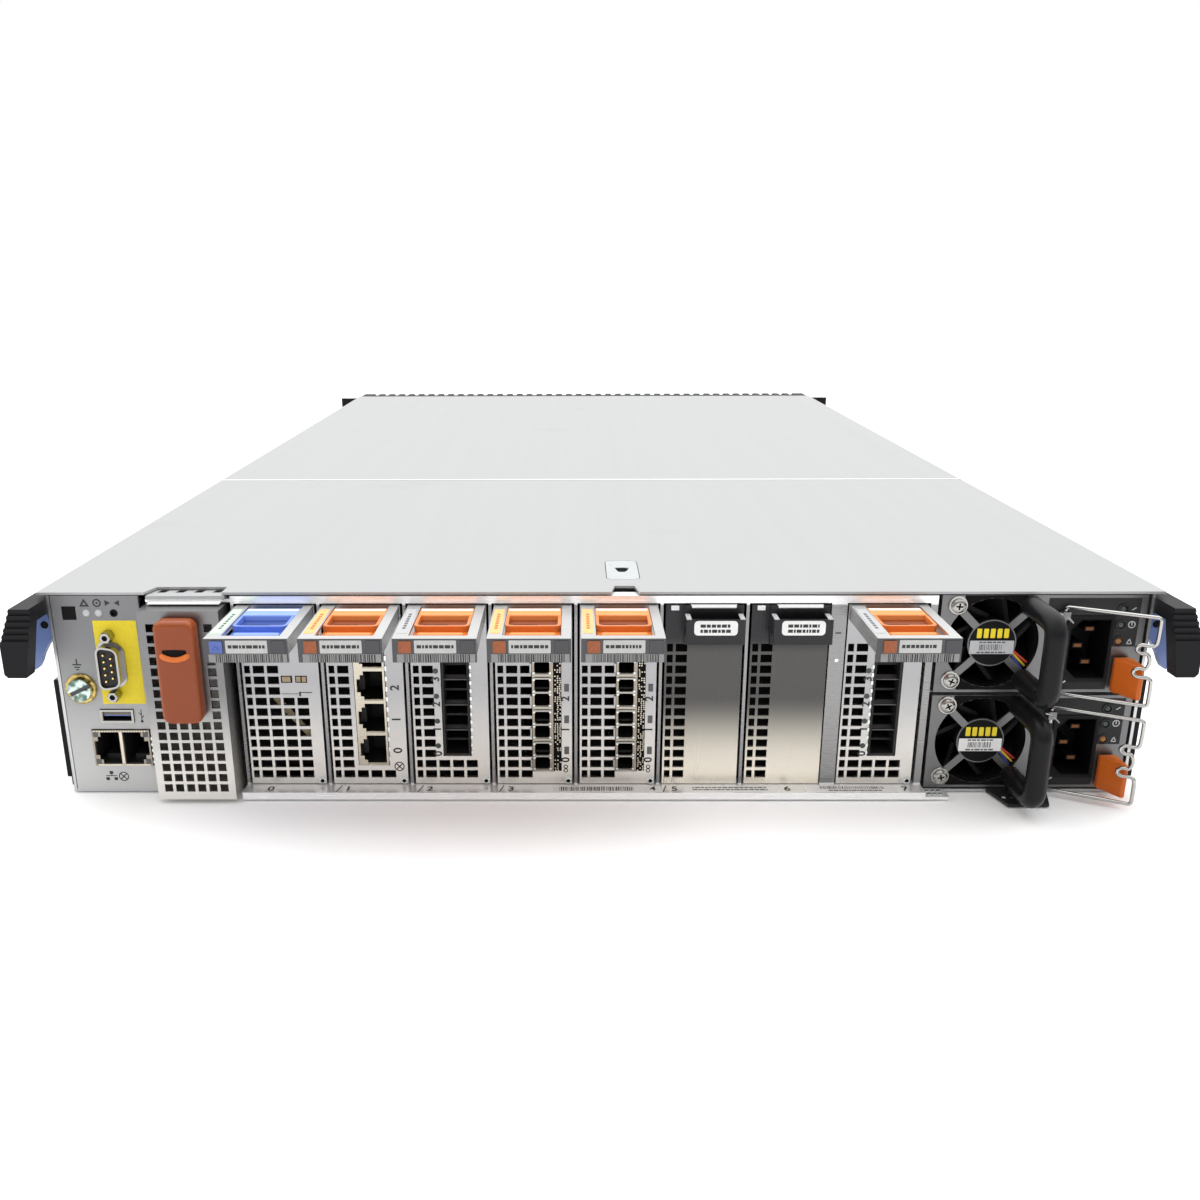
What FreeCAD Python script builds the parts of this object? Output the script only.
import FreeCAD, Part
import math
import os
import re
import Sketcher

# Rack-mounted backup storage appliance, two units high, seen from its rear.
# Millimetres. X runs to the right seen from the rear, Y from the rear to the front, Z up.
# The origin is the middle of the underside of the case.

doc = FreeCAD.newDocument("backup_appliance")
sheet = doc.addObject("Spreadsheet::Sheet", "Sizes")

# A text that starts with = is a formula of other sizes
SIZES = {
    # Case and covers
    "case_width": "=2 * sheet_wall + fit_gap + panel_width + battery_gap + battery_width + slot_gap"
                  " + 6 * slot_pitch + 2 * slot_width + pillar_width + wall_gap + psu_wall + psu_gap"
                  " + psu_width + side_gap",
    "case_depth": 745,
    "case_height": "=psu_lower + 2 * psu_height + psu_shelf + 2 * fit_gap + lid_gap + cover_wall",
    "side_gap": 1.3,
    "lid_gap": 0.4,
    "sheet_wall": 1.2,
    "cover_wall": 1,
    "cover_width": "=case_width + 2 * cover_overhang",
    "cover_overhang": 3.8,
    "cover_seam": 258,
    "cover_flange": 7,
    "cover_flange_start": 30,
    "seam_gap": 0.6,
    "fit_gap": 0.3,
    "stud_radius": 3,
    "stud_length": 3,
    "stud_height": 45,
    "latch_x": 10.4,
    "latch_start": 20,
    "latch_length": 32,
    "latch_width": 13.4,
    "latch_round": 3,
    "latch_travel": 1.2,
    "dent_width": 6.4,
    "dent_narrow": 3.4,
    "dent_length": 7.4,
    "dent_depth": 0.8,
    "pan_height": 3.4,
    "notch_depth": 8.4,
    "notch_slope": 3,
    "gate_width": 11.6,
    "gate_narrow": 7.8,
    "gate_depth": 9.5,
    # Front
    "bezel_depth": 28,
    "bezel_wall": 2.5,
    "bezel_slot": 7,
    "bezel_rib": 3,
    "scallop_radius": 3,
    "ear_span": "=case_width + 2 * ear_reach",
    "ear_reach": 21.6,
    "ear_hole_span": "=case_width + 2 * ear_hole_reach",
    "ear_hole_reach": 12.85,
    "ear_hole_radius": 3.4,
    "ear_hole_pitch": 44.45,
    "ear_wall": 2.5,
    "ear_flange": 40,
    # Rear frame with the module slots
    "slot_first": "=battery_left + battery_width + slot_gap",
    "slot_gap": 4,
    "slot_pitch": "=slot_width + slot_spacing",
    "slot_spacing": 3.2,
    "slot_width": 31,
    "pillar_width": 7.4,
    "slot_floor": 3.4,
    "slot_depth": 90,
    "divider_wall": 1.2,
    "rail_bottom": "=rail_top - rail_height",
    "rail_top": "=case_height - cover_wall - 2 * fit_gap",
    "rail_height": 3,
    "rail_depth": 6,
    "lip_reach": 8.6,
    "header_gap": 0.6,
    "header_slot": 3.4,
    "tag_width": 12.6,
    "psu_wall_x": "=slot_first + 6 * slot_pitch + 2 * slot_width + pillar_width + wall_gap",
    "wall_gap": 1.4,
    "psu_wall": 2.8,
    "pillar_depth": 12,
    "shelf_setback": 3,
    "shelf_depth": 200,
    # Input and output modules
    "module_depth": 230,
    "face_wall": 1.2,
    "face_top": "=rail_bottom - 2 * fit_gap",
    "hole_width": 4.6,
    "hole_height": 3.3,
    "hole_narrow": 2.4,
    "hole_web": 1.1,
    "row_pitch": 4.6,
    "row_first": 6.4,
    "hole_margin": 0.8,
    "foot_width": 9,
    "card_wall": 1.6,
    "card_offset": 25.6,
    "card_margin": 4,
    "plug_wall": 6,
    "plug_length": 8,
    "plug_reach": 8,
    "spacer_radius": 2,
    "cage_depth": 45,
    "socket_depth": 16,
    "cage_wall": 0.9,
    "web_setback": 4.6,
    "jack_left": 11,
    "jack_width": 12.4,
    "jack_bottom": 12.2,
    "jack_pitch": 14,
    "jack_tongue": 2.4,
    "sas_left": 12.2,
    "sas_width": 11.2,
    "sas_bottom": 16.4,
    "sas_pitch": 11,
    "fibre_left": 14.8,
    "fibre_width": 8.6,
    "fibre_bottom": 9.4,
    "fibre_pitch": 14,
    # Module handles and triggers
    "handle_reach": 45,
    "handle_wall": 1.2,
    "handle_lip": 9,
    "handle_bar": 4,
    "handle_width": 30.6,
    "arm_left": 5.4,
    "arm_right": 3.6,
    "arm_drop": 6,
    "trigger_start": 4,
    "trigger_end": 36.4,
    "trigger_height": 7,
    "pocket_start": 14.4,
    "pocket_end": 24.4,
    "pocket_depth": 5.5,
    "pocket_wall": 2.2,
    "pocket_round": 2.6,
    "rim_rise": 0.6,
    "slit_length": 7,
    "slit_width": 1,
    "slit_depth": 0.8,
    "ledge_drop": 4,
    "runner_width": 1.8,
    "runner_wall": 1,
    # Fillers
    "filler_depth": 60,
    "tab_width": 23,
    "tab_margin": 0.6,
    "tab_drop": 16,
    "tab_reach": 10,
    "tab_wall": 2,
    "tab_arm": 6,
    "tab_bar": 10,
    "tab_step": 2.4,
    # Battery module
    "battery_left": "=panel_left + panel_width + battery_gap",
    "battery_gap": 2.9,
    "battery_width": 31.9,
    "battery_reach": 11,
    "battery_top": "=rail_bottom",
    "battery_depth": 200,
    "battery_hole": 3.3,
    "battery_pitch": 4.55,
    "battery_first": 5,
    "grip_width": 18.6,
    "grip_bottom": 33.5,
    "grip_top": "=battery_top - grip_margin",
    "grip_margin": 4.3,
    "grip_thick": 7,
    "grip_round": 4,
    "grip_edge": 2,
    "ridge_width": 12,
    "ridge_height": 63,
    "ridge_reach": 2.6,
    "ridge_wall": 2.4,
    "battery_void": 60,
    # Power supplies
    "psu_left": "=psu_wall_x + psu_wall + psu_gap",
    "psu_gap": 1.4,
    "psu_width": 81.4,
    "psu_depth": 280,
    "psu_height": 40.8,
    "psu_lower": 2,
    "psu_shelf": 0.8,
    "fan_x": "=psu_left + fan_offset",
    "fan_offset": 21.5,
    "fan_height": "=psu_height / 2 + fan_rise",
    "fan_rise": 0.5,
    "fan_radius": "=psu_height / 2 - fan_margin",
    "fan_margin": 1.8,
    "fan_tunnel": 36,
    "fan_hub": 9.7,
    "fan_blade": 1.4,
    "impeller_start": 5,
    "impeller_depth": 24,
    "blade_pitch": 35,
    "blade_gap": 0.6,
    "stub_radius": 3,
    "spoke_width": 3,
    "spoke_span": 45,
    "guard_wall": 1,
    "bar_x": "=fan_x + bar_offset",
    "bar_offset": 13.9,
    "bar_post": "=psu_height / 2 - bar_radius - fan_rise",
    "bar_radius": 4.3,
    "bar_reach": 27,
    "bar_bend": 9,
    "inlet_x": "=psu_left + psu_width - inlet_offset",
    "inlet_offset": 21.4,
    "inlet_height": 18.4,
    "inlet_width": 18.6,
    "inlet_length": 27.6,
    "inlet_wall": 1.6,
    "inlet_depth": 17,
    "inlet_rim": 0.6,
    "inlet_chamfer": 4,
    "pin_width": 4,
    "pin_wall": 2,
    "pin_spread": 7,
    "pin_offset": 2,
    "pin_setback": 5,
    "bail_x": "=inlet_x - bail_offset",
    "bail_offset": 11.4,
    "bail_post": 14.6,
    "bail_radius": 0.9,
    "bail_reach": 34,
    "bail_curl": 8,
    "bail_hook": 3.6,
    "bail_angle": 28,
    "bail_bend": 1.6,
    "lug_size": 3.2,
    "tip_left": "=psu_left + psu_width - tip_width",
    "tip_width": 11.2,
    "tip_bottom": 1.2,
    "tip_height": 17,
    "tip_reach": 13,
    "tip_start": 3.6,
    "tip_flat": 3,
    "tip_gap": 1.4,
    "arm_length": 38,
    "arm_wall": 1.2,
    "arm_height": 8,
    "arm_swing": 4.4,
    "latch_pin_x": "=psu_left + psu_width - latch_pin_inset",
    "latch_pin_inset": 4.6,
    "latch_pin": 1,
    "eye_radius": 2.2,
    # Management panel
    "panel_left": "=sheet_wall + fit_gap - case_width / 2",
    "panel_width": 35,
    "panel_wall": 1.5,
    "serial_x": "=panel_left + serial_inset",
    "serial_inset": 21.6,
    "serial_height": 56.2,
    "serial_long": 17.6,
    "serial_wide": 8.8,
    "serial_taper": 1.5,
    "serial_reach": 5.6,
    "serial_body": 9,
    "serial_wall": 0.7,
    "serial_rim": 1,
    "serial_room": 4.6,
    "pin_row": 1.42,
    "pin_step": 2.77,
    "pin_thick": 1,
    "jack_screw": 12.5,
    "jack_head": 2.7,
    "jack_shank": 1.5,
    "usb_x": "=panel_left + usb_inset",
    "usb_inset": 20.8,
    "usb_height": 34,
    "usb_width": 13,
    "usb_tall": 5.6,
    "usb_wall": 0.5,
    "usb_tongue": 1.4,
    "port_rim": 0.5,
    "jacks_x": "=panel_left + jacks_inset",
    "jacks_inset": 21.2,
    "jacks_height": 20,
    "jacks_width": 23.8,
    "jacks_tall": 15.8,
    "jacks_wall": 0.8,
    "jacks_depth": 20,
    "ground_x": "=panel_left + ground_inset",
    "ground_inset": 7.6,
    "ground_height": 46,
    "washer_radius": 6.4,
    "washer_wall": 1.2,
    "screw_radius": 4.9,
    "screw_head": 3.4,
    "screw_slot": 1.3,
    "screw_turn": 35,
    "lamp_x": "=panel_left + lamp_inset",
    "lamp_inset": 13.7,
    "lamp_pitch": 4.9,
    "lamp_height": "=case_height - lamp_drop",
    "lamp_drop": 8.5,
    "lamp_radius": 1.5,
    "reset_x": "=lamp_x + reset_offset",
    "reset_offset": 11,
    "reset_radius": 1,
    "badge_x": "=lamp_x - badge_offset",
    "badge_offset": 6.9,
    "badge_size": 5.6,
    # Side grips and release levers
    "side_grip_top": "=case_height - cover_wall - side_grip_gap",
    "side_grip_gap": 1.4,
    "side_grip_drop": 28,
    "side_grip_reach": 16,
    "side_grip_wall": 7.5,
    "side_grip_arm": 6,
    "pad_top_in": 0.8,
    "pad_top_out": 7.9,
    "pad_waist": 14.4,
    "pad_out": 13.4,
    "pad_low_in": 4.8,
    "pad_chamfer": 1.4,
    "rib_depth": 0.8,
    "rib_pitch": 2.6,
    "lever_pin_x": "=case_width / 2 + lever_inset",
    "lever_inset": 3.2,
    "lever_pin_height": "=side_grip_top - lever_pin_drop",
    "lever_pin_drop": 11.6,
    "lever_pin_radius": 1.3,
    "lever_start": 2,
    "lever_wall": 4,
    "lever_web": 3,
    "lever_web_drop": 6,
    "lever_reach": 7.7,
    "lever_drop": 19.2,
    # Cable bracket
    "bracket_x": "=psu_left + bracket_inset",
    "bracket_inset": 38.7,
    "bracket_width": 25,
    "bracket_reach": 15,
    "bracket_hole": 1.6,
    # Inside
    "board_start": 400,
    "board_margin": 12,
    "board_width": "=case_width - 2 * sheet_wall - 3 * board_margin",
    "board_height": 9,
    "board_wall": 1.6,
    "sink_size": 80,
    "sink_base": 5,
    "fin_wall": 1.2,
    "fin_height": 48,
    "stick_pitch": 9,
    "stick_wall": 1.4,
    "stick_length": 133,
    "stick_height": 31,
    "fan_bank_start": 350,
    "fan_bank_depth": 40,
    "fan_bank_height": "=rail_bottom - sheet_wall - board_wall",
}

for row, alias in enumerate(SIZES, start=1):
    sheet.set(f"A{row}", alias)
    sheet.setAlias(f"B{row}", alias)
for row, content in enumerate(SIZES.values(), start=1):
    sheet.set(f"B{row}", str(content))
doc.recompute()

REAR = "(-case_depth / 2)"
FRONT = "(case_depth / 2)"
LID = "(case_height - cover_wall)"
WORD = re.compile(r"[a-z_]+[a-z_0-9]*")
AXES = {
    "X": (FreeCAD.Rotation(FreeCAD.Vector(0, 1, 0), 90), FreeCAD.Vector(1, 0, 0)),
    "Y": (FreeCAD.Rotation(FreeCAD.Vector(1, 0, 0), -90), FreeCAD.Vector(0, 1, 0)),
    "Z": (FreeCAD.Rotation(), FreeCAD.Vector(0, 0, 1)),
}
PLANES = {
    "XY": (FreeCAD.Rotation(), FreeCAD.Vector(0, 0, 1)),
    "XZ": (FreeCAD.Rotation(FreeCAD.Vector(1, 0, 0), 90), FreeCAD.Vector(0, 1, 0)),
    "YZ": (FreeCAD.Rotation(FreeCAD.Vector(1, 1, 1), 120), FreeCAD.Vector(1, 0, 0)),
}
PORTS = 4
HOLE_ROWS = 13
BATTERY_ROWS = 16
BATTERY_COLUMNS = 6
GRIP_ROWS = 9
BLADES = 7
RIBS = 5
FINS = 9
STICKS = 8
FANS = 5
SIDES = ("-1", "1")
HEADER_SLOTS = 4
SCALLOP_SIDES = 6
WIRE_SIDES = 8
TUBE_SIDES = 16
HUB_SIDES = 16
BEND_CHORDS = 4
# Shares of a crescent ridge's half width and thickness, round its outline
RIDGE = (
    (-1, 0.7), (-0.67, 0), (0, -0.4), (0.67, 0), (1, 0.7),
    (1, 1.35), (0.67, 0.8), (0, 0.45), (-0.67, 0.8), (-1, 1.35),
)
# Shares of a release lever's reach and drop, round its outline from the pin
LEVER = (
    (-0.23, 0.25), (0.26, 0.24), (0.55, 0.06), (0.78, -0.26), (0.95, -0.52),
    (1, -0.7), (0.99, -0.88), (0.87, -1), (0.68, -0.96), (0.52, -0.85),
    (0.35, -0.69), (0.18, -0.57), (-0.04, -0.44), (-0.35, -0.27), (-0.35, 0),
)
nodes = []


def tied(text):
    """The same expression with each size read from the sheet."""
    return WORD.sub(lambda word: ("Sizes." if word.group() in SIZES else "") + word.group(), str(text))


def value(text):
    """The number that an expression has now."""
    return float(sheet.evalExpression(str(text)))


def bind(thing, **sizes):
    """Ties properties to expressions."""
    for name, text in sizes.items():
        thing.setExpression(name, tied(text))
    return thing


def place(thing, x, y, z):
    """Ties a thing's position to expressions."""
    for letter, text in zip("xyz", (x, y, z)):
        thing.setExpression(f"Placement.Base.{letter}", tied(text))
    return thing


def inside(depth):
    """The Y of a point that lies a depth inside the rear face; less than 0 is behind it."""
    return f"({REAR} + {depth})"


def block(x, y, z, length, width, height):
    """A box from its lowest corner and its sizes."""
    thing = bind(doc.addObject("Part::Box", "Block"), Length=length, Width=width, Height=height)
    return place(thing, x, y, z)


def rod(axis, x, y, z, radius, length):
    """A cylinder that starts at a point and runs along an axis."""
    thing = doc.addObject("Part::Cylinder", "Rod")
    thing.Placement.Rotation = AXES[axis][0]
    bind(thing, Radius=radius, Height=length)
    return place(thing, x, y, z)


def prism(plane, corners, depth, x, y, z):
    """A constrained outline in a plane, pushed along the plane's normal."""
    turn, normal = PLANES[plane]
    sketch = doc.addObject("Sketcher::SketchObject", "Outline")
    sketch.Placement.Rotation = turn
    place(sketch, x, y, z)
    spots = [FreeCAD.Vector(value(u), value(v), 0) for u, v in corners]
    count = len(spots)
    for index, spot in enumerate(spots):
        sketch.addGeometry(Part.LineSegment(spot, spots[(index + 1) % count]))
    for index in range(count):
        sketch.addConstraint(Sketcher.Constraint("Coincident", index, 2, (index + 1) % count, 1))
    for index, (corner, spot) in enumerate(zip(corners, spots)):
        for kind, text, number in (("DistanceX", corner[0], spot.x), ("DistanceY", corner[1], spot.y)):
            tie = sketch.addConstraint(Sketcher.Constraint(kind, -1, 1, index, 1, number))
            sketch.setExpression(f"Constraints[{tie}]", tied(text))
    thing = doc.addObject("Part::Extrusion", "Prism")
    thing.Base = sketch
    thing.DirMode = "Custom"
    thing.Dir = normal
    thing.Solid = True
    return bind(thing, LengthFwd=depth)


def fused(*things):
    """Several solids made one."""
    if len(things) == 1:
        return things[0]
    thing = doc.addObject("Part::MultiFuse", "Fused")
    thing.Shapes = list(things)
    thing.Refine = True
    return thing


def together(*things):
    """Several solids kept apart in one object."""
    thing = doc.addObject("Part::Compound", "Group")
    thing.Links = list(things)
    return thing


def cut(base, *tools):
    """A solid less one or more others."""
    for tool in tools:
        thing = doc.addObject("Part::Cut", "Cut")
        thing.Base = base
        thing.Tool = tool
        thing.Refine = True
        base = thing
    return base


def shared(first, second):
    """The room that two solids share."""
    thing = doc.addObject("Part::Common", "Shared")
    thing.Base = first
    thing.Tool = second
    return thing


def eased(thing, size, choose, kind):
    """Rounds or chamfers the edges that a test chooses."""
    doc.recompute()
    amount = value(size)
    chosen = [i for i, edge in enumerate(thing.Shape.Edges, start=1) if choose(edge)]
    result = doc.addObject(kind, "Eased")
    result.Base = thing
    result.Edges = [(i, amount, amount) for i in chosen]
    return result


def rounded(thing, radius, axis):
    """Rounds the straight edges that run along an axis."""
    return eased(thing, radius, along(axis), "Part::Fillet")


def bevelled(thing, size, axis):
    """Chamfers the straight edges that run along an axis."""
    return eased(thing, size, along(axis), "Part::Chamfer")


def polygon(radius, count):
    """The corners of a regular polygon about the origin."""
    turns = [360 * corner / count for corner in range(count)]
    return [(f"({radius}) * cos({turn})", f"({radius}) * sin({turn})") for turn in turns]


def along(axis):
    """A test for straight edges that run along an axis."""
    wanted = AXES[axis][1]

    def test(edge):
        start, end = edge.Vertexes[0].Point, edge.Vertexes[-1].Point
        run = end - start
        straight = edge.Curve.TypeId == "Part::GeomLine"
        return straight and run.Length > 0 and abs(run.dot(wanted)) > 0.999 * run.Length

    return test


def holes(columns, rows, depth_start, depth):
    """A grid of square holes: upright strips crossed with level strips."""
    strips = [block(x, depth_start, 0, width, depth, "case_height") for x, width in columns]
    low = columns[0][0]
    across = "3 * slot_pitch"
    levels = [block(f"{low} - slot_pitch", depth_start, z, across, depth, height) for z, height in rows]
    return shared(together(*strips), together(*levels))


def node(label, thing):
    """Names a finished sub-part, which is written to a file of that name."""
    thing.Label = label
    nodes.append(thing)
    return thing


# Chassis tray: a folded channel with shoulder studs for the rack slides
tray_top = f"({LID} - fit_gap)"
tray_outer = block("-case_width / 2", REAR, 0, "case_width", "case_depth", tray_top)
tray_inner = block(
    "-case_width / 2 + sheet_wall", f"{REAR} - sheet_wall", "sheet_wall",
    "case_width - 2 * sheet_wall", "case_depth + 2 * sheet_wall", "case_height",
)
studs = []
for share in ("-0.35", "0", "0.35"):
    for start in ("case_width / 2", "-case_width / 2 - stud_length"):
        studs.append(rod("X", start, f"{share} * case_depth", "stud_height", "stud_radius", "stud_length"))
node("chassis_tray", fused(cut(tray_outer, tray_inner), *studs))


# Top covers: flat lids with folded side flanges. The latch pan is welded under the rear lid
def lid(start, length, flange_start, flange_length):
    """A flat lid with a flange folded down along each side."""
    side = "cover_width / 2 - cover_wall"
    flange_bottom = f"{LID} - cover_flange"
    return fused(
        block("-cover_width / 2", start, LID, "cover_width", length, "cover_wall"),
        block("-cover_width / 2", flange_start, flange_bottom, "cover_wall", flange_length, "cover_flange"),
        block(side, flange_start, flange_bottom, "cover_wall", flange_length, "cover_flange"),
    )


seam = inside("cover_seam")
rear_lid = lid(
    REAR, "cover_seam - seam_gap",
    inside("cover_flange_start"), "cover_seam - seam_gap - cover_flange_start",
)
latch_left = "(latch_x - latch_width / 2)"
latch_hole = rounded(block(
    f"{latch_left} - fit_gap", inside("latch_start - fit_gap"), f"{LID} - pan_height + cover_wall",
    "latch_width + 2 * fit_gap", "latch_length + 2 * fit_gap", "pan_height + cover_wall",
), "latch_round + fit_gap", "Z")
latch_pan = block(
    f"{latch_left} - fit_gap - cover_wall", inside("latch_start - fit_gap - cover_wall"),
    f"{LID} - pan_height", "latch_width + 2 * (fit_gap + cover_wall)",
    "latch_length + 2 * (fit_gap + cover_wall)", "pan_height",
)
notch_left = "-2 * fit_gap"
notch_right = "(battery_width - 4 * fit_gap)"
battery_notch = prism("XY", [
    (notch_left, "-cover_wall"), (notch_right, "-cover_wall"),
    (notch_right, "notch_depth"), (f"{notch_left} + notch_slope", "notch_depth"),
], "3 * cover_wall", "battery_left", REAR, f"{LID} - cover_wall")
gate = prism("XY", [
    ("-gate_width / 2", "-cover_wall"), ("gate_width / 2", "-cover_wall"),
    ("gate_narrow / 2", "gate_depth"), ("-gate_narrow / 2", "gate_depth"),
], "3 * cover_wall", "latch_x", REAR, f"{LID} - cover_wall")
node("rear_cover", together(cut(rear_lid, latch_hole, battery_notch, gate), cut(latch_pan, latch_hole)))
front_length = "case_depth - cover_seam"
node("front_cover", lid(seam, front_length, seam, f"{front_length} - ear_flange - fit_gap"))

# Cover latch: a sprung push plate with a dent for the finger nail
latch_bottom = f"({LID} - pan_height + cover_wall + latch_travel + fit_gap)"
latch_plate = rounded(block(
    latch_left, inside("latch_start"), latch_bottom,
    "latch_width", "latch_length", f"case_height - {latch_bottom}",
), "latch_round", "Z")
dent = prism("XY", [
    ("-dent_narrow / 2", "-dent_length / 2"), ("dent_narrow / 2", "-dent_length / 2"),
    ("dent_width / 2", "dent_length / 2"), ("-dent_width / 2", "dent_length / 2"),
], "2 * dent_depth", "latch_x", inside("latch_start + latch_length / 2"), "case_height - dent_depth")
node("cover_latch", cut(latch_plate, dent))

# Front bezel: an open moulding with upright grille slots and a scalloped top edge
bezel_bottom = "fit_gap"
bezel_height = "(case_height - 2 * fit_gap)"
bezel_outer = block("-cover_width / 2 + cover_wall", FRONT, bezel_bottom,
                    "cover_width - 2 * cover_wall", "bezel_depth", bezel_height)
bezel_inner = block(
    "-cover_width / 2 + cover_wall + bezel_wall", f"{FRONT} - bezel_wall", f"{bezel_bottom} + bezel_wall",
    "cover_width - 2 * cover_wall - 2 * bezel_wall", "bezel_depth", f"{bezel_height} - 2 * bezel_wall",
)
bezel_pitch = "(bezel_slot + bezel_rib)"
slot_count = int(value(f"(cover_width - 6 * bezel_wall) / {bezel_pitch}"))
grille = []
scallops = []
for index in range(slot_count):
    middle = f"({index} - {(slot_count - 1) / 2}) * {bezel_pitch}"
    if index % 2:
        grille.append(block(
            f"{middle} - {bezel_pitch} + bezel_rib / 2", f"{FRONT} + bezel_depth - 2 * bezel_wall",
            f"{bezel_bottom} + 3 * bezel_wall",
            "2 * bezel_slot + bezel_rib", "3 * bezel_wall", f"{bezel_height} - 6 * bezel_wall",
        ))
    scallops.append(prism(
        "XZ", polygon("scallop_radius", SCALLOP_SIDES), "bezel_depth",
        middle, f"{FRONT} + bezel_depth / 2", f"{bezel_bottom} + {bezel_height} + scallop_radius / 3",
    ))
node("front_bezel", cut(bezel_outer, bezel_inner, together(*grille), together(*scallops)))


# Rack ears: an angle on each side wall with the rack's bolt holes
def rack_ear(side):
    """The ear of one side, 1 for the right and -1 for the left."""
    width = "(ear_span - case_width) / 2"
    height = f"({tray_top} - 2 * fit_gap)"
    plate_left = "case_width / 2" if side > 0 else "-ear_span / 2"
    flange_left = "case_width / 2" if side > 0 else "-case_width / 2 - ear_wall"
    ear = fused(
        block(plate_left, f"{FRONT} - ear_wall", "fit_gap", width, "ear_wall", height),
        block(flange_left, f"{FRONT} - ear_flange", "fit_gap", "ear_wall", "ear_flange", height),
    )
    for offset in ("-ear_hole_pitch / 2", "ear_hole_pitch / 2"):
        ear = cut(ear, rod("Y", f"{side} * ear_hole_span / 2", f"{FRONT} - 2 * ear_wall",
                           f"case_height / 2 + {offset}", "ear_hole_radius", "3 * ear_wall"))
    return ear


node("rack_ears", together(rack_ear(1), rack_ear(-1)))


# Rear frame: slot floor with its numbered lip, dividers, pillar, top rail and power supply shelf
def slot_x(slot):
    """The left edge of a module slot. The pillar stands between slots 6 and 7."""
    if slot < 7:
        return f"(slot_first + {slot} * slot_pitch)"
    return "(slot_first + 6 * slot_pitch + slot_width + pillar_width)"


frame_left = "(slot_first - (slot_pitch - slot_width + divider_wall) / 2)"
frame_right = "(psu_wall_x + psu_wall)"
frame_width = f"({frame_right} - {frame_left})"
divider_height = "rail_bottom - slot_floor"
shelf_bottom = "(psu_lower + psu_height + fit_gap)"
lip_y = f"({REAR} - lip_reach)"
header = block("battery_left", REAR, "battery_top + header_gap",
               f"{frame_left} - battery_left + divider_wall", "rail_depth", "sheet_wall")
header_slots = []
for index in range(HEADER_SLOTS):
    middle = f"battery_left + ({index} + 0.5) * (battery_width - header_slot) / {HEADER_SLOTS}"
    header_slots.append(block(f"{middle} - header_slot / 2", inside("rail_depth / 4"), "battery_top",
                              "header_slot", "rail_depth / 2", "rail_top - rail_bottom"))
frame_pieces = [
    cut(header, together(*header_slots)),
    block("psu_wall_x", lip_y, "fit_gap", "tag_width", "lip_reach", "sheet_wall"),
    block(frame_left, REAR, "sheet_wall", frame_width, "slot_depth", "slot_floor - sheet_wall"),
    block(frame_left, lip_y, "slot_floor - sheet_wall", frame_width, "lip_reach", "sheet_wall"),
    block(frame_left, lip_y, "fit_gap", frame_width, "sheet_wall", "slot_floor - fit_gap"),
    block(frame_left, REAR, "rail_bottom", frame_width, "rail_depth", "rail_top - rail_bottom"),
    block("psu_wall_x", REAR, "sheet_wall", "psu_wall", "slot_depth", "rail_top - sheet_wall"),
    block(f"{slot_x(6)} + slot_width + 2 * fit_gap", REAR, "slot_floor",
          "pillar_width - 4 * fit_gap", "pillar_depth", divider_height),
    block(frame_right, inside("shelf_setback"), shelf_bottom,
          f"case_width / 2 - sheet_wall - {frame_right}", "shelf_depth", "psu_shelf"),
]
for slot in range(7):
    edge = f"{slot_x(slot)} - (slot_pitch - slot_width + divider_wall) / 2"
    frame_pieces.append(block(edge, REAR, "slot_floor", "divider_wall", "slot_depth", divider_height))
node("rear_frame", fused(*frame_pieces))

# Module faces: a plate with rows of square holes, a side wall and a foot that slides on the slot floor
FACE_BOTTOM = "(slot_floor + fit_gap)"
FACE_HEIGHT = f"(face_top - {FACE_BOTTOM})"


def hole_columns(slot, first, last):
    """The columns of holes in a face, the narrow one at the left first."""
    left = f"{slot_x(slot)} + hole_margin"
    columns = [(left, "hole_narrow")]
    for index in range(4):
        step = f"hole_narrow + hole_web + {index} * (hole_width + hole_web)"
        columns.append((f"{left} + {step}", "hole_width"))
    return columns[first:last]


def hole_rows(first, last):
    """The rows of holes in a face, counted from the bottom."""
    return [(f"row_first + {row} * row_pitch", "hole_height") for row in range(first, last)]


def face_holes(slot, columns, rows):
    """The holes of a face in a range of columns and a range of rows."""
    return holes(hole_columns(slot, *columns), hole_rows(*rows), f"{REAR} - face_wall", "3 * face_wall")


def carrier(slot, depth):
    """A folded face, side wall and foot with no holes yet."""
    right = f"{slot_x(slot)} + slot_width"
    return fused(
        block(slot_x(slot), REAR, FACE_BOTTOM, "slot_width", "face_wall", FACE_HEIGHT),
        block(f"{right} - face_wall", REAR, FACE_BOTTOM, "face_wall", depth, FACE_HEIGHT),
        block(f"{right} - foot_width", REAR, FACE_BOTTOM, "foot_width", depth, "face_wall"),
    )


def stack_place(slot, kind):
    """The left, width, bottom and height of a stack of ports."""
    left = f"({slot_x(slot)} + {kind}_left)"
    return left, f"{kind}_width", f"{kind}_bottom", f"({PORTS} * {kind}_pitch)"


def window(slot, kind):
    """The hole in a face through which a stack of ports shows."""
    left, width, bottom, height = stack_place(slot, kind)
    return block(f"{left} - fit_gap", f"{REAR} - face_wall", f"{bottom} - fit_gap",
                 f"{width} + 2 * fit_gap", "3 * face_wall", f"{height} + 2 * fit_gap")


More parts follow.
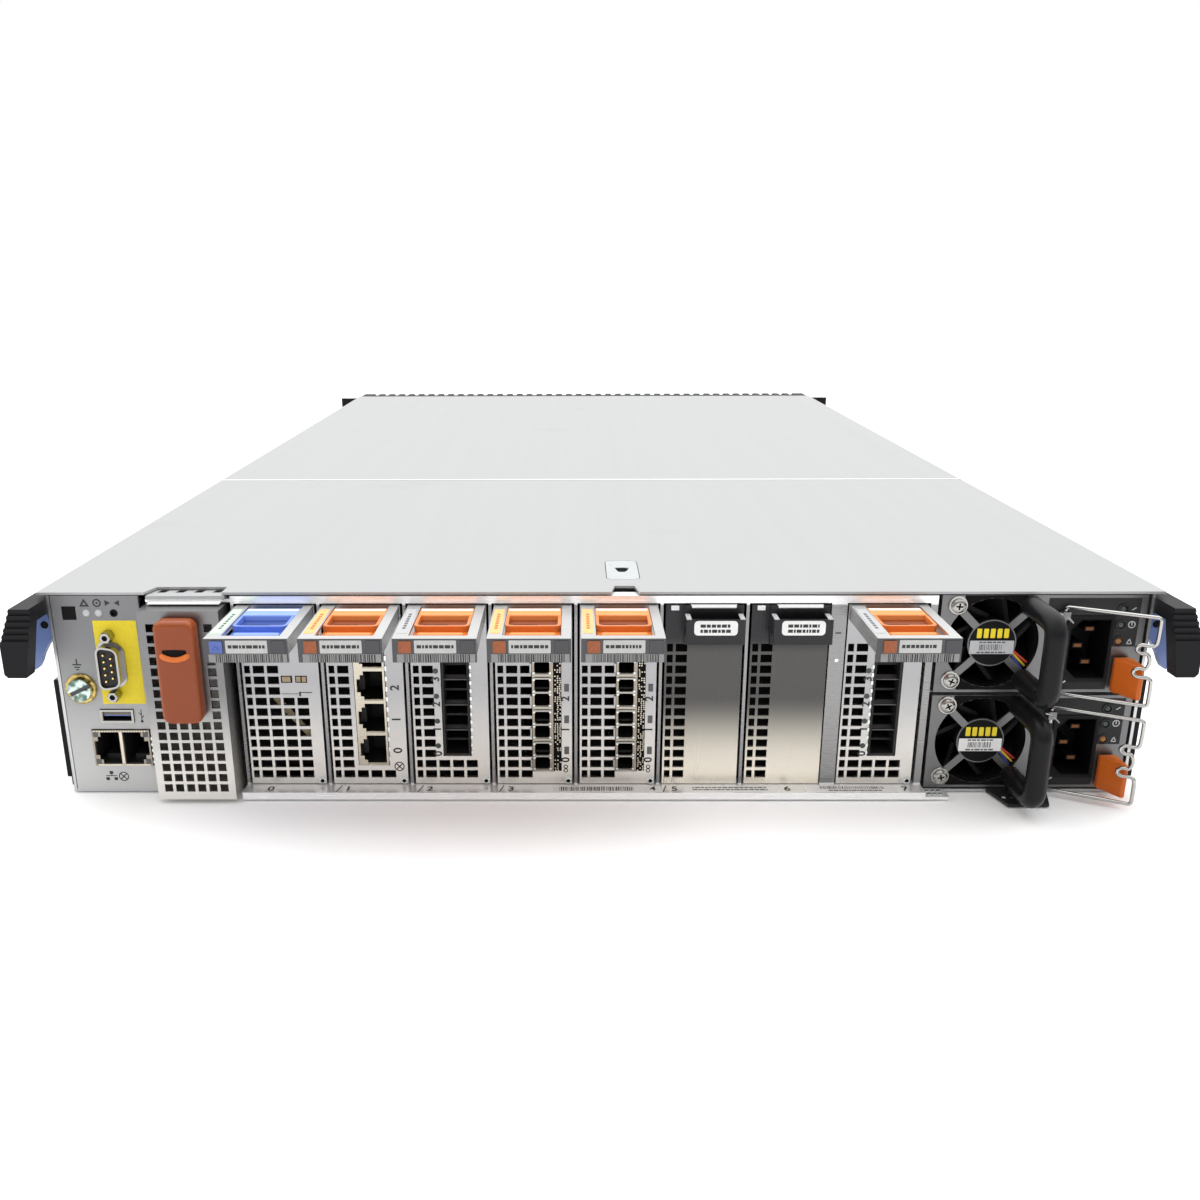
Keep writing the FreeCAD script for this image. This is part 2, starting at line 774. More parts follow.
def cage(slot, kind):
    """A stack of ports, each an open socket with walls around it."""
    left, width, bottom, height = stack_place(slot, kind)
    body = block(left, REAR, bottom, width, "cage_depth", height)
    sockets = []
    for port in range(PORTS):
        low = f"{bottom} + {port} * {kind}_pitch"
        sockets.append(block(
            f"{left} + cage_wall", f"{REAR} - cage_wall", f"{low} + cage_wall",
            f"{width} - 2 * cage_wall", "socket_depth + cage_wall", f"{kind}_pitch - 2 * cage_wall",
        ))
    if kind == "sas":
        sockets.append(block(
            f"{left} + cage_wall", f"{REAR} - cage_wall", f"{bottom} + cage_wall",
            f"{width} - 2 * cage_wall", "web_setback + cage_wall", f"{height} - 2 * cage_wall",
        ))
    return cut(body, fused(*sockets))


def jack_tongues(slot):
    """The contact tongue on the left wall of each network jack."""
    left, _, bottom, _ = stack_place(slot, "jack")
    tongues = []
    for port in range(PORTS):
        low = f"{bottom} + ({port} + 0.25) * jack_pitch"
        tongues.append(block(f"{left} + cage_wall", inside("web_setback"), low,
                             "jack_tongue", "socket_depth - web_setback", "jack_pitch / 2"))
    return tongues


def socket_webs(slot, kind):
    """The web across the middle of each optical or data socket."""
    left, width, bottom, _ = stack_place(slot, kind)
    webs = []
    for port in range(PORTS):
        low = f"{bottom} + ({port} + 0.5) * {kind}_pitch - cage_wall / 2"
        webs.append(block(f"{left} + cage_wall", inside("web_setback"), low,
                          f"{width} - 2 * cage_wall", "socket_depth - web_setback", "cage_wall"))
    return webs


def card(slot, kind):
    """A circuit card on spacers, with its plug at the inner end and its ports at the rear."""
    board_x = f"({slot_x(slot)} + card_offset)"
    low = f"({FACE_BOTTOM} + card_margin)"
    height = f"({FACE_HEIGHT} - 2 * card_margin)"
    wall_x = f"({slot_x(slot)} + slot_width - face_wall)"
    start = inside("face_wall + fit_gap")
    length = "(module_depth - face_wall - fit_gap)"
    pieces = [
        block(board_x, start, low, "card_wall", length, height),
        block(f"{board_x} - plug_wall", inside("module_depth - plug_length"), f"{low} + card_margin",
              "plug_wall", "plug_length + plug_reach", f"{height} - 2 * card_margin"),
    ]
    spacer_length = f"{wall_x} - {board_x} - card_wall"
    for depth in ("0.3", "0.85"):
        for share in ("0.15", "0.85"):
            pieces.append(prism("YZ", polygon("spacer_radius", 6), spacer_length, f"{board_x} + card_wall",
                                inside(f"{depth} * module_depth"), f"{low} + {share} * {height}"))
    if kind:
        pieces.append(cage(slot, kind))
        pieces += jack_tongues(slot) if kind == "jack" else socket_webs(slot, kind)
        left, width, bottom, stack_height = stack_place(slot, kind)
        pieces.append(block(f"{left} + {width}", start, bottom, f"{board_x} - {left} - {width}",
                            "cage_depth - face_wall - fit_gap", stack_height))
    return fused(*pieces)


def handle(slot):
    """A folded pull frame: two arms with turned-down edges and a front lip."""
    left = f"({slot_x(slot)} + (slot_width - handle_width) / 2)"
    tip = f"({REAR} - handle_reach)"
    top = "face_top - handle_wall"
    edge_bottom = "face_top - arm_drop"
    lip_back = "handle_reach - handle_bar"
    return fused(
        block(left, tip, top, "arm_left", "handle_reach", "handle_wall"),
        block(f"{left} + handle_width - arm_right", tip, top, "arm_right", "handle_reach", "handle_wall"),
        block(left, tip, top, "handle_width", f"handle_reach - ({lip_back})", "handle_wall"),
        block(left, tip, edge_bottom, "handle_wall", "handle_reach", "arm_drop"),
        block(f"{left} + handle_width - handle_wall", tip, edge_bottom,
              "handle_wall", "handle_reach", "arm_drop"),
        block(left, tip, "face_top - handle_lip", "handle_width", "handle_wall", "handle_lip"),
    )


def trigger(slot):
    """A sprung squeeze tab under the arms of its handle, with a finger pocket in a raised ridge."""
    frame_x = f"({slot_x(slot)} + (slot_width - handle_width) / 2)"
    left = f"({frame_x} + arm_left + fit_gap)"
    width = "(handle_width - arm_left - arm_right - 2 * fit_gap)"
    bottom = "(face_top - trigger_height)"
    ledge_top = "(trigger_height - ledge_drop)"
    profile = [
        ("-trigger_start", "0"), ("-trigger_start", "trigger_height - handle_wall"),
        ("-pocket_start", "trigger_height - handle_wall"), ("-pocket_start", ledge_top),
        ("-trigger_end", f"{ledge_top} + handle_wall"), ("-trigger_end", "0"),
    ]
    body = prism("YZ", profile, width, left, REAR, bottom)
    ridge = bevelled(block(
        left, f"{REAR} - pocket_end - pocket_wall", f"{bottom} + {ledge_top}",
        width, "pocket_end + pocket_wall - pocket_start + pocket_round", "ledge_drop + rim_rise",
    ), "pocket_round", "Z")
    pocket = bevelled(block(
        f"{left} + pocket_wall", f"{REAR} - pocket_end", "face_top - pocket_depth",
        f"{width} - 2 * pocket_wall", "pocket_end - pocket_start", "2 * pocket_depth",
    ), "pocket_round", "Z")
    slit = block(f"{left} + 2 * pocket_wall", f"{REAR} - pocket_end + 2 * slit_width",
                 "face_top - pocket_depth - slit_depth", "slit_length", "slit_width", "2 * slit_depth")
    runner_top = "face_top - handle_wall - fit_gap"
    runner = block(f"{left} - runner_width", f"{REAR} - pocket_start", f"{runner_top} - runner_wall",
                   f"{width} + 2 * runner_width", "pocket_start - trigger_start", "runner_wall")
    return fused(cut(fused(body, ridge), pocket, slit), runner)


ALL_ROWS = (0, HOLE_ROWS)
FACES = {
    0: (None, [((0, 3), ALL_ROWS), ((3, 5), (0, 8))]),
    1: ("jack", [((0, 2), ALL_ROWS), ((2, 5), (0, 1))]),
    2: ("sas", [((0, 2), ALL_ROWS), ((2, 5), (0, 2))]),
    3: ("fibre", [((0, 3), ALL_ROWS)]),
    4: ("fibre", [((0, 3), ALL_ROWS)]),
    7: ("sas", [((0, 2), ALL_ROWS), ((2, 5), (0, 2))]),
}
for slot, (kind, groups) in FACES.items():
    face = carrier(slot, "module_depth")
    if kind:
        face = cut(face, window(slot, kind))
    for columns, rows in groups:
        face = cut(face, face_holes(slot, columns, rows))
    node(f"io_carrier_{slot}", face)
    node(f"io_card_{slot}", card(slot, kind))
    node(f"io_handle_{slot}", handle(slot))
    node(f"io_trigger_{slot}", trigger(slot))


# Slot fillers: a short carrier with a moulded finger loop at the top
def finger_loop(slot):
    """A plate on the face with two arms that carry a front bar, open above and below."""
    left = f"({slot_x(slot)} + slot_width - tab_width - tab_margin)"
    tip = f"({REAR} - tab_reach)"
    bar_bottom = "face_top - tab_drop + tab_step"
    arm_bottom = f"{bar_bottom} + tab_bar - tab_arm"
    return fused(
        block(left, f"{REAR} - tab_wall", "face_top - tab_drop", "tab_width", "tab_wall", "tab_drop"),
        block(left, tip, bar_bottom, "tab_width", "tab_wall", "tab_bar"),
        block(left, tip, arm_bottom, "tab_wall", "tab_reach", "tab_arm"),
        block(f"{left} + tab_width - tab_wall", tip, arm_bottom, "tab_wall", "tab_reach", "tab_arm"),
    )


for slot in (5, 6):
    node(f"filler_plate_{slot}", cut(carrier(slot, "filler_depth"), face_holes(slot, (0, 2), ALL_ROWS)))
    node(f"filler_tab_{slot}", finger_loop(slot))

# Battery module: a perforated box with a moulded grip on its face
battery_bottom = "(sheet_wall + fit_gap)"
battery_face = f"({REAR} - battery_reach)"
battery_length = "(battery_reach + battery_depth)"
battery_middle = "(battery_left + battery_width / 2)"
battery_box = block("battery_left", battery_face, battery_bottom,
                    "battery_width", battery_length, f"battery_top - {battery_bottom}")
battery_room = block(
    "battery_left + face_wall", f"{battery_face} + face_wall", f"{battery_bottom} + face_wall",
    "battery_width - 2 * face_wall", "battery_void", f"battery_top - {battery_bottom} - 2 * face_wall",
)
hole_left = f"{battery_middle} - battery_hole / 2"
steps = [f"({column} - {(BATTERY_COLUMNS - 1) / 2})" for column in range(BATTERY_COLUMNS)]
battery_columns = [(f"{hole_left} + {step} * battery_pitch", "battery_hole") for step in steps]
battery_rows = [(f"battery_first + {row} * battery_pitch", "battery_hole") for row in range(BATTERY_ROWS)]
through = (f"{battery_face} - face_wall", "3 * face_wall")
edge_holes = holes([battery_columns[0], battery_columns[-1]], battery_rows, *through)
low_holes = holes(battery_columns[1:-1], battery_rows[:BATTERY_ROWS - GRIP_ROWS], *through)
node("battery_case", cut(battery_box, battery_room, edge_holes, low_holes))

grip_block = block(f"{battery_middle} - grip_width / 2", f"{battery_face} - grip_thick", "grip_bottom",
                   "grip_width", "grip_thick", "grip_top - grip_bottom")
grip_front = f"({battery_face} - grip_thick)"
grip_shell = eased(
    rounded(grip_block, "grip_round", "Y"), "grip_edge",
    lambda edge: all(abs(vertex.Point.y - value(grip_front)) < 0.001 for vertex in edge.Vertexes),
    "Part::Chamfer",
)
crescent = [(f"{u} * ridge_width / 2", f"{v} * ridge_wall") for u, v in RIDGE]
grip_ridge = prism("XZ", crescent, "ridge_reach + grip_thick / 2",
                   battery_middle, f"{grip_front} - ridge_reach", "ridge_height")
node("battery_grip", fused(grip_shell, grip_ridge))


# Power supplies
def bent_rod(corners, radius, bend, sides):
    """A rod along straight runs with a turn of short chords at each inner corner."""
    spots = [FreeCAD.Vector(*(value(text) for text in corner)) for corner in corners]
    path = [spots[0]]
    for before, corner, after in zip(spots, spots[1:], spots[2:]):
        back = (before - corner).normalize()
        ahead = (after - corner).normalize()
        reach = value(bend) / math.tan(back.getAngle(ahead) / 2)
        crown = (reach ** 2 + value(bend) ** 2) ** 0.5 - value(bend)
        middle = corner + (back + ahead).normalize() * crown
        arc = Part.Arc(corner + back * reach, middle, corner + ahead * reach)
        path += arc.discretize(BEND_CHORDS + 1)
    path.append(spots[-1])
    start = (spots[1] - spots[0]).normalize()
    across = start.cross(spots[2] - spots[1]).normalize()
    upward = start.cross(across)
    ring = []
    for side in range(sides + 1):
        turn = 2 * math.pi * (side + 0.5) / sides
        ring.append(spots[0] + (across * math.cos(turn) + upward * math.sin(turn)) * value(radius))
    thing = doc.addObject("Part::Feature", "BentRod")
    thing.Shape = Part.makePolygon(path).makePipeShell([Part.makePolygon(ring)], True, False, 1)
    return thing


def turned(thing, axis, angle, x="0", y="0", z="0"):
    """A thing turned about an axis through the origin, then moved."""
    holder = together(thing)
    holder.Placement.Rotation = FreeCAD.Rotation(AXES[axis][1], angle)
    return place(holder, x, y, z)


def chamfered(width, height, chamfer):
    """The corners of an upright rectangle about its middle with its two left corners cut off."""
    return [
        (f"{width} / 2", f"-{height} / 2"), (f"{width} / 2", f"{height} / 2"),
        (f"{chamfer} - {width} / 2", f"{height} / 2"), (f"-{width} / 2", f"{height} / 2 - {chamfer}"),
        (f"-{width} / 2", f"{chamfer} - {height} / 2"), (f"{chamfer} - {width} / 2", f"-{height} / 2"),
    ]


def psu_case(bottom):
    """A closed case with a stamped fan guard, inlet hole, latch slot and bail lugs."""
    fan_z = f"({bottom} + fan_height)"
    inlet_z = f"({bottom} + inlet_height)"
    box = block("psu_left", REAR, bottom, "psu_width", "psu_depth", "psu_height")
    tunnel = prism("XZ", polygon("fan_radius + 2 * fit_gap", HUB_SIDES), "fan_tunnel",
                   "fan_x", inside("guard_wall"), fan_z)
    mouth = rod("Y", "fan_x", f"{REAR} - guard_wall", fan_z, "fan_radius", "3 * guard_wall")
    inlet_hole = block("inlet_x - inlet_width / 2 - fit_gap", f"{REAR} - guard_wall",
                       f"{inlet_z} - inlet_length / 2 - fit_gap", "inlet_width + 2 * fit_gap",
                       "inlet_depth + inlet_wall + fit_gap + guard_wall", "inlet_length + 2 * fit_gap")
    arm_z = f"({bottom} + tip_bottom + (tip_height - arm_height) / 2)"
    slot = block("latch_pin_x - arm_swing", f"{REAR} - guard_wall", f"{arm_z} - fit_gap",
                 "arm_swing + eye_radius + fit_gap", "arm_length + eye_radius + fit_gap + guard_wall",
                 "arm_height + 2 * fit_gap")
    pin = rod("Z", "latch_pin_x", inside("arm_length"), f"{arm_z} - fit_gap",
              "latch_pin", "arm_height + 2 * fit_gap")
    spokes = []
    for angle in ("spoke_span", "-spoke_span"):
        bar = block("-fan_radius - spoke_width / 2", "0", "-spoke_width / 2",
                    "2 * fan_radius + spoke_width", "guard_wall", "spoke_width")
        spokes.append(turned(bar, "Y", value(angle), "fan_x", REAR, fan_z))
    hub = rod("Y", "fan_x", REAR, fan_z, "fan_hub", "guard_wall")
    stub = prism("XZ", polygon("stub_radius", WIRE_SIDES),
                 "guard_wall + fan_tunnel - impeller_start - impeller_depth - fit_gap",
                 "fan_x", inside("impeller_start + impeller_depth + fit_gap"), fan_z)
    lugs = []
    for side in SIDES:
        lug_z = f"({inlet_z} + {side} * bail_post)"
        lug = block("bail_x - lug_size / 2", f"{REAR} - lug_size", f"{lug_z} - lug_size / 2",
                    "lug_size", "lug_size", "lug_size")
        bore = rod("Z", "bail_x", f"{REAR} - lug_size / 2", f"{lug_z} - lug_size",
                   "bail_radius + fit_gap", "2 * lug_size")
        lugs.append(cut(lug, bore))
    return fused(cut(box, tunnel, mouth, inlet_hole, slot), *spokes, hub, stub, pin, *lugs)


def impeller(bottom):
    """A hub with pitched blades trimmed to a near-round tip."""
    fan_z = f"({bottom} + fan_height)"
    start = inside("impeller_start")
    hub = prism("XZ", polygon("fan_hub - blade_gap", HUB_SIDES), "impeller_depth", "fan_x", start, fan_z)
    sweep = prism("XZ", polygon("fan_radius - blade_gap", HUB_SIDES), "impeller_depth",
                  "fan_x", start, fan_z)
    blades = []
    for index in range(BLADES):
        blade = block("fan_hub / 2", "-impeller_depth", "-fan_blade / 2",
                      "fan_radius", "2 * impeller_depth", "fan_blade")
        pitched = turned(blade, "X", value("blade_pitch"))
        blades.append(turned(pitched, "Y", index * 360 / BLADES, "fan_x",
                             inside("impeller_start + impeller_depth / 2"), fan_z))
    return fused(hub, *(shared(blade, sweep) for blade in blades))


def psu_handle(bottom):
    """A tube bent into a pull handle."""
    tip = f"{REAR} - bar_reach"
    high = f"{bottom} + fan_height + bar_post"
    low = f"{bottom} + fan_height - bar_post"
    corners = [("bar_x", REAR, high), ("bar_x", tip, high), ("bar_x", tip, low), ("bar_x", REAR, low)]
    return bent_rod(corners, "bar_radius", "bar_bend", TUBE_SIDES)


def inlet(bottom):
    """A mains inlet: a chamfered recess with three flat pins."""
    middle = f"({bottom} + inlet_height)"
    start = f"({REAR} - inlet_rim)"
    body = block("inlet_x - inlet_width / 2", start, f"{middle} - inlet_length / 2",
                 "inlet_width", "inlet_depth + inlet_wall + inlet_rim", "inlet_length")
    room = ("(inlet_width - 2 * inlet_wall)", "(inlet_length - 2 * inlet_wall)")
    outline = chamfered(*room, "inlet_chamfer")
    hollow = prism("XZ", outline, "inlet_depth + 2 * inlet_rim", "inlet_x", f"{start} - inlet_rim", middle)
    pins = []
    for x, z in (("pin_offset", "pin_spread"), ("pin_offset", "-pin_spread"), ("-pin_offset", "0")):
        pins.append(block(f"inlet_x + {x} - pin_width / 2", inside("pin_setback"),
                          f"{middle} + {z} - pin_wall / 2",
                          "pin_width", "inlet_depth - pin_setback", "pin_wall"))
    return fused(cut(body, hollow), *pins)


def bail(bottom):
    """A cord retainer of spring wire: two side wires that join in a double inward hook."""
    middle = f"({bottom} + inlet_height)"
    away = "bail_x + ({0}) * cos(bail_angle)"
    out = f"{REAR} - lug_size / 2 - ({{0}}) * sin(bail_angle)"

    def spot(reach, height):
        return away.format(reach), out.format(reach), f"{middle} + {height}"

    stub = "(bail_post - lug_size / 2 - 2 * bail_radius)"
    side = "(bail_post + lug_size / 2 + 2 * bail_radius)"
    half = [("0", stub), ("0", side), ("bail_reach", side), ("bail_reach", "(2 * bail_hook)"),
            ("bail_reach - bail_curl", "bail_hook")]
    corners = [spot(reach, height) for reach, height in half]
    corners.append(spot("bail_reach - bail_radius", "0"))
    corners += [spot(reach, f"-{height}") for reach, height in reversed(half)]
    return bent_rod(corners, "bail_radius", "bail_bend", WIRE_SIDES)


def latch(bottom):
    """A release latch: a wedge tip on an arm that turns on a pin inside the case."""
    low = f"({bottom} + tip_bottom)"
    arm_z = f"({low} + (tip_height - arm_height) / 2)"
    tip = prism("XY", [("0", "-tip_gap"), ("tip_width", "-tip_gap"), ("tip_width", "-tip_reach"),
                       ("tip_width - tip_flat", "-tip_reach"), ("0", "-tip_start")],
                "tip_height", "tip_left", REAR, low)
    arm = block("latch_pin_x - arm_wall / 2", f"{REAR} - tip_gap - arm_wall", arm_z,
                "arm_wall", "arm_length + tip_gap + arm_wall", "arm_height")
    eye = rod("Z", "latch_pin_x", inside("arm_length"), arm_z, "eye_radius", "arm_height")
    bore = rod("Z", "latch_pin_x", inside("arm_length"), f"{arm_z} - arm_wall", "latch_pin + fit_gap",
               "arm_height + 2 * arm_wall")
    return cut(fused(tip, arm, eye), bore)


for label, bottom in (("lower", "psu_lower"), ("upper", f"({shelf_bottom} + psu_shelf + fit_gap)")):
    node(f"psu_{label}_case", psu_case(bottom))
    node(f"psu_{label}_impeller", impeller(bottom))
    node(f"psu_{label}_handle", psu_handle(bottom))
    node(f"psu_{label}_inlet", inlet(bottom))
    node(f"psu_{label}_bail", bail(bottom))
    node(f"psu_{label}_latch", latch(bottom))


# Management panel: a plate with cut-outs for its connectors, lamps and reset pinhole
def d_outline(inset):
    """The corners of an upright D-shaped connector, its long side at the left."""
    half_wide = f"(serial_wide / 2 - {inset})"
    long = f"(serial_long / 2 - {inset})"
    short = f"(serial_long / 2 - serial_taper - {inset})"
    return [
        (f"-{half_wide}", f"-{long}"), (half_wide, f"-{short}"),
        (half_wide, short), (f"-{half_wide}", long),
    ]


panel = block("panel_left", REAR, "sheet_wall", "panel_width", "panel_wall", f"{tray_top} - sheet_wall")
panel_back = f"({REAR} - panel_wall)"
panel_cuts = [
    prism("XZ", d_outline("-fit_gap"), "3 * panel_wall", "serial_x", panel_back, "serial_height"),
    block("usb_x - usb_width / 2 - fit_gap", panel_back, "usb_height - usb_tall / 2 - fit_gap",
          "usb_width + 2 * fit_gap", "3 * panel_wall", "usb_tall + 2 * fit_gap"),
    block("jacks_x - jacks_width / 2 - fit_gap", panel_back, "jacks_height - jacks_tall / 2 - fit_gap",
          "jacks_width + 2 * fit_gap", "3 * panel_wall", "jacks_tall + 2 * fit_gap"),
    block("badge_x - badge_size / 2", f"{REAR} - panel_wall / 2", "lamp_height - badge_size / 2",
          "badge_size", "panel_wall", "badge_size"),
]
for x in ("lamp_x", "lamp_x + lamp_pitch"):
    panel_cuts.append(rod("Y", x, panel_back, "lamp_height", "lamp_radius", "3 * panel_wall"))
panel_cuts.append(rod("Y", "reset_x", panel_back, "lamp_height", "reset_radius", "3 * panel_wall"))
screw_spots = [("serial_x", f"serial_height + {side} * jack_screw") for side in SIDES]
for x, z in screw_spots + [("ground_x", "ground_height")]:
    panel_cuts.append(prism("XZ", polygon("jack_shank + 2 * fit_gap", WIRE_SIDES), "3 * panel_wall",
                            x, panel_back, z))
node("management_panel", cut(panel, *panel_cuts))

# Serial port: a steel D shell around an insulator with nine pins, between two hexagon jack screws
shell_flange = block("serial_x - serial_wide / 2 - serial_rim", f"{REAR} - serial_rim",
                     "serial_height - serial_long / 2 - serial_rim",
                     "serial_wide + 2 * serial_rim", "serial_rim", "serial_long + 2 * serial_rim")
shell_tube = prism("XZ", d_outline("0"), "serial_reach + serial_body",
                   "serial_x", f"{REAR} - serial_reach", "serial_height")
shell_room = prism("XZ", d_outline("serial_wall"), "serial_room + serial_wall",
                   "serial_x", f"{REAR} - serial_reach - serial_wall", "serial_height")
pin_spots = [("-pin_row", f"{step} * pin_step") for step in (-2, -1, 0, 1, 2)]
pin_spots += [("pin_row", f"{step} * pin_step") for step in (-1.5, -0.5, 0.5, 1.5)]
pins = [block(f"serial_x + {x} - pin_thick / 2", f"{REAR} - serial_reach + serial_wall",
              f"serial_height + {z} - pin_thick / 2", "pin_thick", "serial_room", "pin_thick")
        for x, z in pin_spots]
jack_screws = []
for x, z in screw_spots:
    post = prism("XZ", polygon("jack_head", 6), "serial_reach - serial_wall",
                 x, f"{REAR} - serial_reach + serial_wall", z)
    shank = prism("XZ", polygon("jack_shank", WIRE_SIDES), "panel_wall + serial_reach", x, REAR, z)
    thread = rod("Y", x, f"{REAR} - 2 * serial_reach", z, "jack_shank / 1.5", "2 * serial_reach")
    jack_screws.append(cut(fused(post, shank), thread))
node("serial_port", together(fused(cut(fused(shell_flange, shell_tube), shell_room), *pins), *jack_screws))


# Service USB port and the pair of network jacks
def socket_shell(x, z, width, height, depth, wall):
    """A shielded socket that is open at the rear."""
    outer = block(f"{x} - {width} / 2", f"{REAR} - port_rim", f"{z} - {height} / 2",
                  width, f"{depth} + port_rim", height)
    inner = block(f"{x} - {width} / 2 + {wall}", f"{REAR} - 2 * port_rim", f"{z} - {height} / 2 + {wall}",
                  f"{width} - 2 * {wall}", f"{depth} + 2 * port_rim - {wall}", f"{height} - 2 * {wall}")
    return cut(outer, inner)


usb_tongue = block("usb_x - usb_width / 2 + usb_wall", inside("usb_wall"), "usb_height + usb_wall / 2",
                   "usb_width - 2 * usb_wall", "jacks_depth - 2 * usb_wall", "usb_tongue")
usb_shell = socket_shell("usb_x", "usb_height", "usb_width", "usb_tall", "jacks_depth", "usb_wall")
jack_pieces = []
for side in SIDES:
    middle = f"(jacks_x + {side} * jacks_width / 4)"
    jack_pieces.append(socket_shell(middle, "jacks_height", "jacks_width / 2",
                                    "jacks_tall", "jacks_depth", "jacks_wall"))
    jack_pieces.append(block(f"{middle} - jacks_width / 8", inside("web_setback"),
                             "jacks_height - jacks_tall / 2 + jacks_wall",
                             "jacks_width / 4", "jacks_depth - web_setback - jacks_wall", "jack_tongue"))
node("panel_jacks", together(fused(usb_shell, usb_tongue), fused(*jack_pieces)))

# Ground screw with a washer under its slotted head
washer = prism("XZ", polygon("washer_radius", TUBE_SIDES), "washer_wall",
               "ground_x", f"{REAR} - washer_wall", "ground_height")
head_y = f"({REAR} - washer_wall - screw_head)"
head = prism("XZ", polygon("screw_radius", TUBE_SIDES), "screw_head", "ground_x", head_y, "ground_height")
shank = prism("XZ", polygon("jack_shank", WIRE_SIDES), "panel_wall + serial_reach",
              "ground_x", REAR, "ground_height")
slot = block("-screw_radius", "-screw_head", "-screw_slot / 2",
             "2 * screw_radius", "screw_head", "screw_slot")
driver_slot = turned(slot, "Y", value("screw_turn"),
                     "ground_x", f"{head_y} + screw_head / 2", "ground_height")
node("ground_screw", cut(fused(washer, head, shank), driver_slot))


# Side grips with their release levers
def side_x(side, reach):
    """A distance out from the side wall, on the right or mirrored to the left."""
    return f"({side}) * ({reach})"


def side_block(side, y, z, length, width, height):
    """A box that stands on a side wall."""
    left = "case_width / 2" if side > 0 else f"-case_width / 2 - ({length})"
    return block(left, y, z, length, width, height)


def side_grip(side):
    """A ribbed pad on an arm beside the wall, with the web and pin of its lever."""
    wall = side_x(side, "case_width / 2")
    pad_y = f"({REAR} - side_grip_reach)"
    arm_end = "(lever_start + lever_wall + fit_gap + lever_web)"
    outline = [
        ("pad_top_in", "0"), ("pad_top_out", "0"), ("pad_out", "-pad_waist"),
        ("pad_out", "pad_chamfer - side_grip_drop"), ("pad_out - pad_chamfer", "-side_grip_drop"),
        ("pad_low_in", "-side_grip_drop"), ("pad_top_in", "-side_grip_arm"),
    ]
    corners = [(side_x(side, u), v) for u, v in outline]
    pad = prism("XZ", corners, "side_grip_wall", wall, pad_y, "side_grip_top")
    arm = side_block(side, pad_y, "side_grip_top - side_grip_arm", "pad_top_out",
                     f"side_grip_reach + {arm_end}", "side_grip_arm")
    web_bottom = "(lever_pin_height - lever_web_drop)"
    web = side_block(side, inside("lever_start + lever_wall + fit_gap"), web_bottom, "pad_top_out",
                     "lever_web", f"side_grip_top - {web_bottom}")
    pin = rod("Y", side_x(side, "lever_pin_x"), inside("lever_start"), "lever_pin_height",
              "lever_pin_radius", "lever_wall + fit_gap + lever_web")
    ribs = []
    for index in range(RIBS):
        rib_z = f"side_grip_top - ({index} + 1) * rib_pitch"
        ribs.append(side_block(side, f"{pad_y} - rib_depth", rib_z,
                               "2 * pad_out", "2 * rib_depth", "rib_pitch / 2"))
    return cut(fused(pad, arm, web, pin), together(*ribs))


def release_lever(side):
    """A crescent lever that turns on the pin of its grip."""
    outline = [(side_x(side, f"{u} * lever_reach"), f"{v} * lever_drop") for u, v in LEVER]
    pin_x = side_x(side, "lever_pin_x")
    plate = prism("XZ", outline, "lever_wall", pin_x, inside("lever_start"), "lever_pin_height")
    bore = rod("Y", pin_x, inside("lever_start - lever_wall"), "lever_pin_height",
               "lever_pin_radius + fit_gap", "3 * lever_wall")
    return cut(plate, bore)


for label, side in (("left", -1), ("right", 1)):
    node(f"{label}_grip", side_grip(side))
    node(f"{label}_lever", release_lever(side))

# Cable bracket: a tapered tab at the rear edge of the floor
bracket = prism("XY", [("-bracket_width / 2", "0"), ("-bracket_width / 3", "-bracket_reach"),
                       ("bracket_width / 3", "-bracket_reach"), ("bracket_width / 2", "0")],
                "sheet_wall", "bracket_x", REAR, "0")
for side in SIDES:
    hole_x = f"bracket_x + {side} * bracket_width / 6"
    bracket = cut(bracket, rod("Z", hole_x, f"{REAR} - bracket_reach / 2",
                               "-sheet_wall", "bracket_hole", "3 * sheet_wall"))
node("cable_bracket", bracket)


# Inside: system board with heat sinks and memory, the module midplane and a bank of fans
def heat_sink(x, y):
    """A base plate with upright fins."""
    base_z = "(board_height + board_wall)"
    low_y = f"{y} - sink_size / 2"
    pieces = [block(f"{x} - sink_size / 2", low_y, base_z, "sink_size", "sink_size", "sink_base")]
    for index in range(FINS):
        fin_x = f"{x} - sink_size / 2 + {index} * (sink_size - fin_wall) / {FINS - 1}"
        pieces.append(block(fin_x, low_y, f"{base_z} + sink_base", "fin_wall", "sink_size", "fin_height"))
    return fused(*pieces)


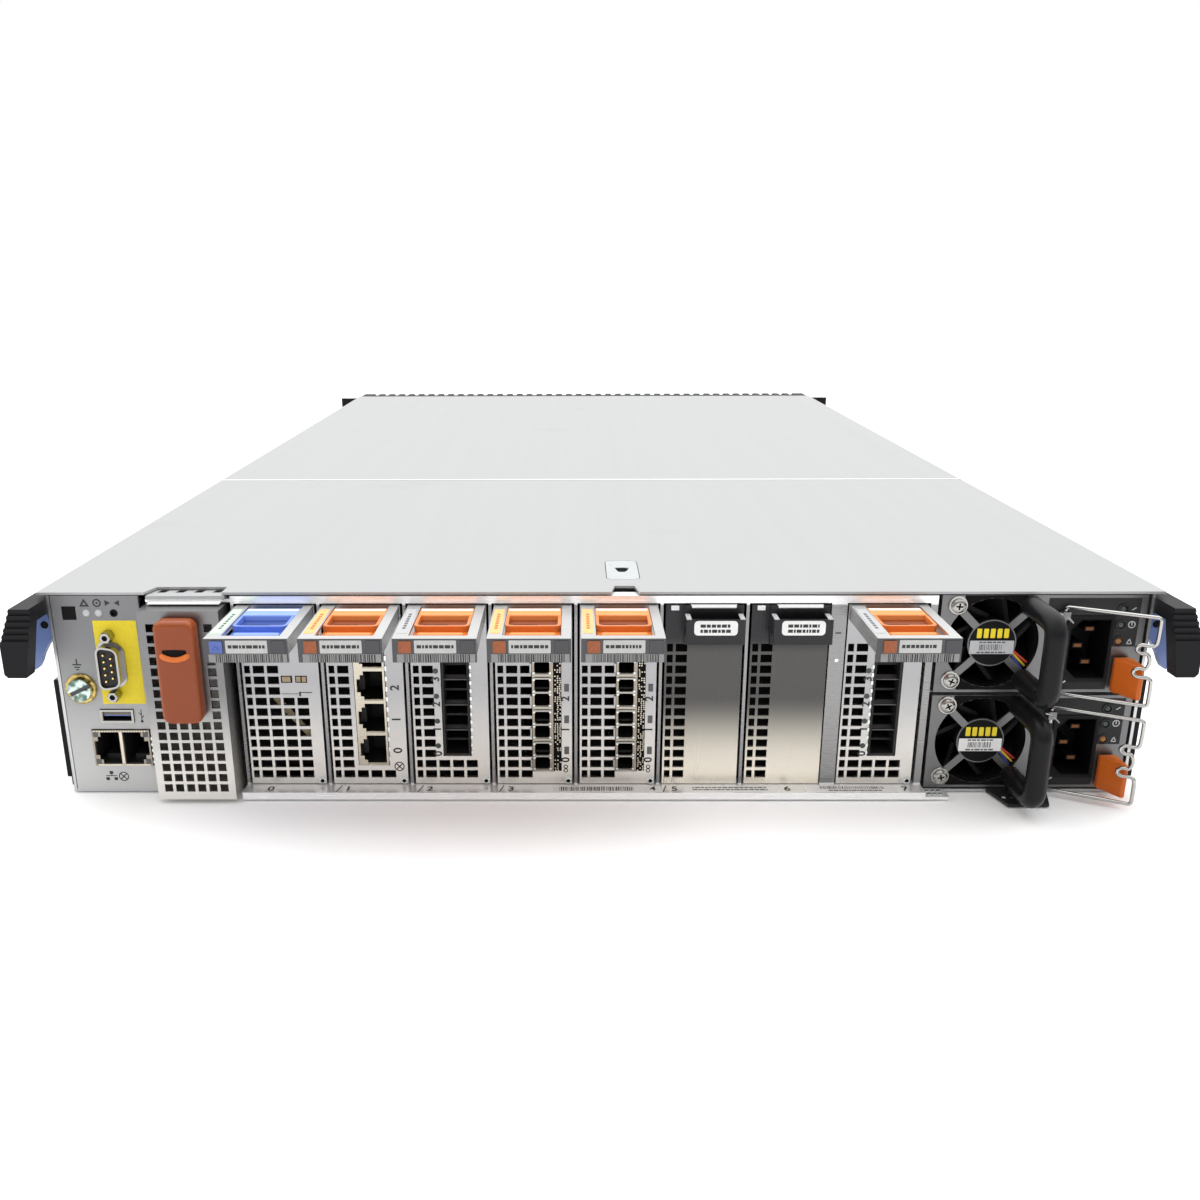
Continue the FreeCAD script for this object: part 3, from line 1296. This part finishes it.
board_y = inside("board_start")
board_length = "(case_depth - board_start - board_margin)"
board_pieces = [
    block("-board_width / 2", board_y, "board_height", "board_width", board_length, "board_wall"),
]
for x in ("-board_width / 2 + board_margin", "board_width / 2 - board_margin"):
    for y in (f"{board_y} + board_margin", f"{board_y} + {board_length} - board_margin"):
        board_pieces.append(prism("XY", polygon("spacer_radius", 6), "board_height - sheet_wall",
                                  x, y, "sheet_wall"))
inner_pieces = [fused(*board_pieces)]
sink_y = f"({board_y} + {board_length} / 2)"
for side in SIDES:
    inner_pieces.append(heat_sink(f"({side} * board_width / 4)", sink_y))
for index in range(STICKS):
    stick_x = f"({index} - {(STICKS - 1) / 2}) * stick_pitch - stick_wall / 2"
    inner_pieces.append(block(stick_x, f"{sink_y} - stick_length / 2", "board_height + board_wall",
                              "stick_wall", "stick_length", "stick_height"))
inner_pieces.append(block(frame_left, inside("module_depth + plug_reach + fit_gap"), "sheet_wall",
                          frame_width, "board_wall", "face_top - sheet_wall"))
node("system_board", together(*inner_pieces))


def fan(index):
    """One square fan frame with its spokes and hub."""
    side = "fan_bank_height"
    left = f"({index} - {FANS / 2}) * {side}"
    middle_x = f"{left} + {side} / 2"
    middle_z = f"sheet_wall + {side} / 2"
    start = inside("fan_bank_start")
    frame = block(left, start, "sheet_wall", side, "fan_bank_depth", side)
    mouth = prism("XZ", polygon(f"{side} / 2 - board_wall", WIRE_SIDES), "3 * fan_bank_depth",
                  middle_x, f"{start} - fan_bank_depth", middle_z)
    hub = prism("XZ", polygon(f"{side} / 5", WIRE_SIDES), "fan_bank_depth", middle_x, start, middle_z)
    bar = block(left, start, f"{middle_z} - spoke_width / 2", side, "spoke_width", "spoke_width")
    return fused(cut(frame, mouth), hub, bar)


node("fan_bank", together(*(fan(index) for index in range(FANS))))

# Write the parts
doc.recompute()
faults = [thing.Name for thing in doc.Objects if {"Invalid", "Error"} & set(thing.State)]
faults += [thing.Label for thing in nodes if thing.Shape.isNull() or not thing.Shape.isValid()]
if faults:
    raise RuntimeError("not built: " + ", ".join(faults))
os.makedirs("parts", exist_ok=True)
for thing in nodes:
    thing.Shape.exportStep(os.path.join("parts", thing.Label + ".step"))
    print(thing.Label, len(thing.Shape.Solids), "solids", round(thing.Shape.Volume / 1000, 2), "cm3")
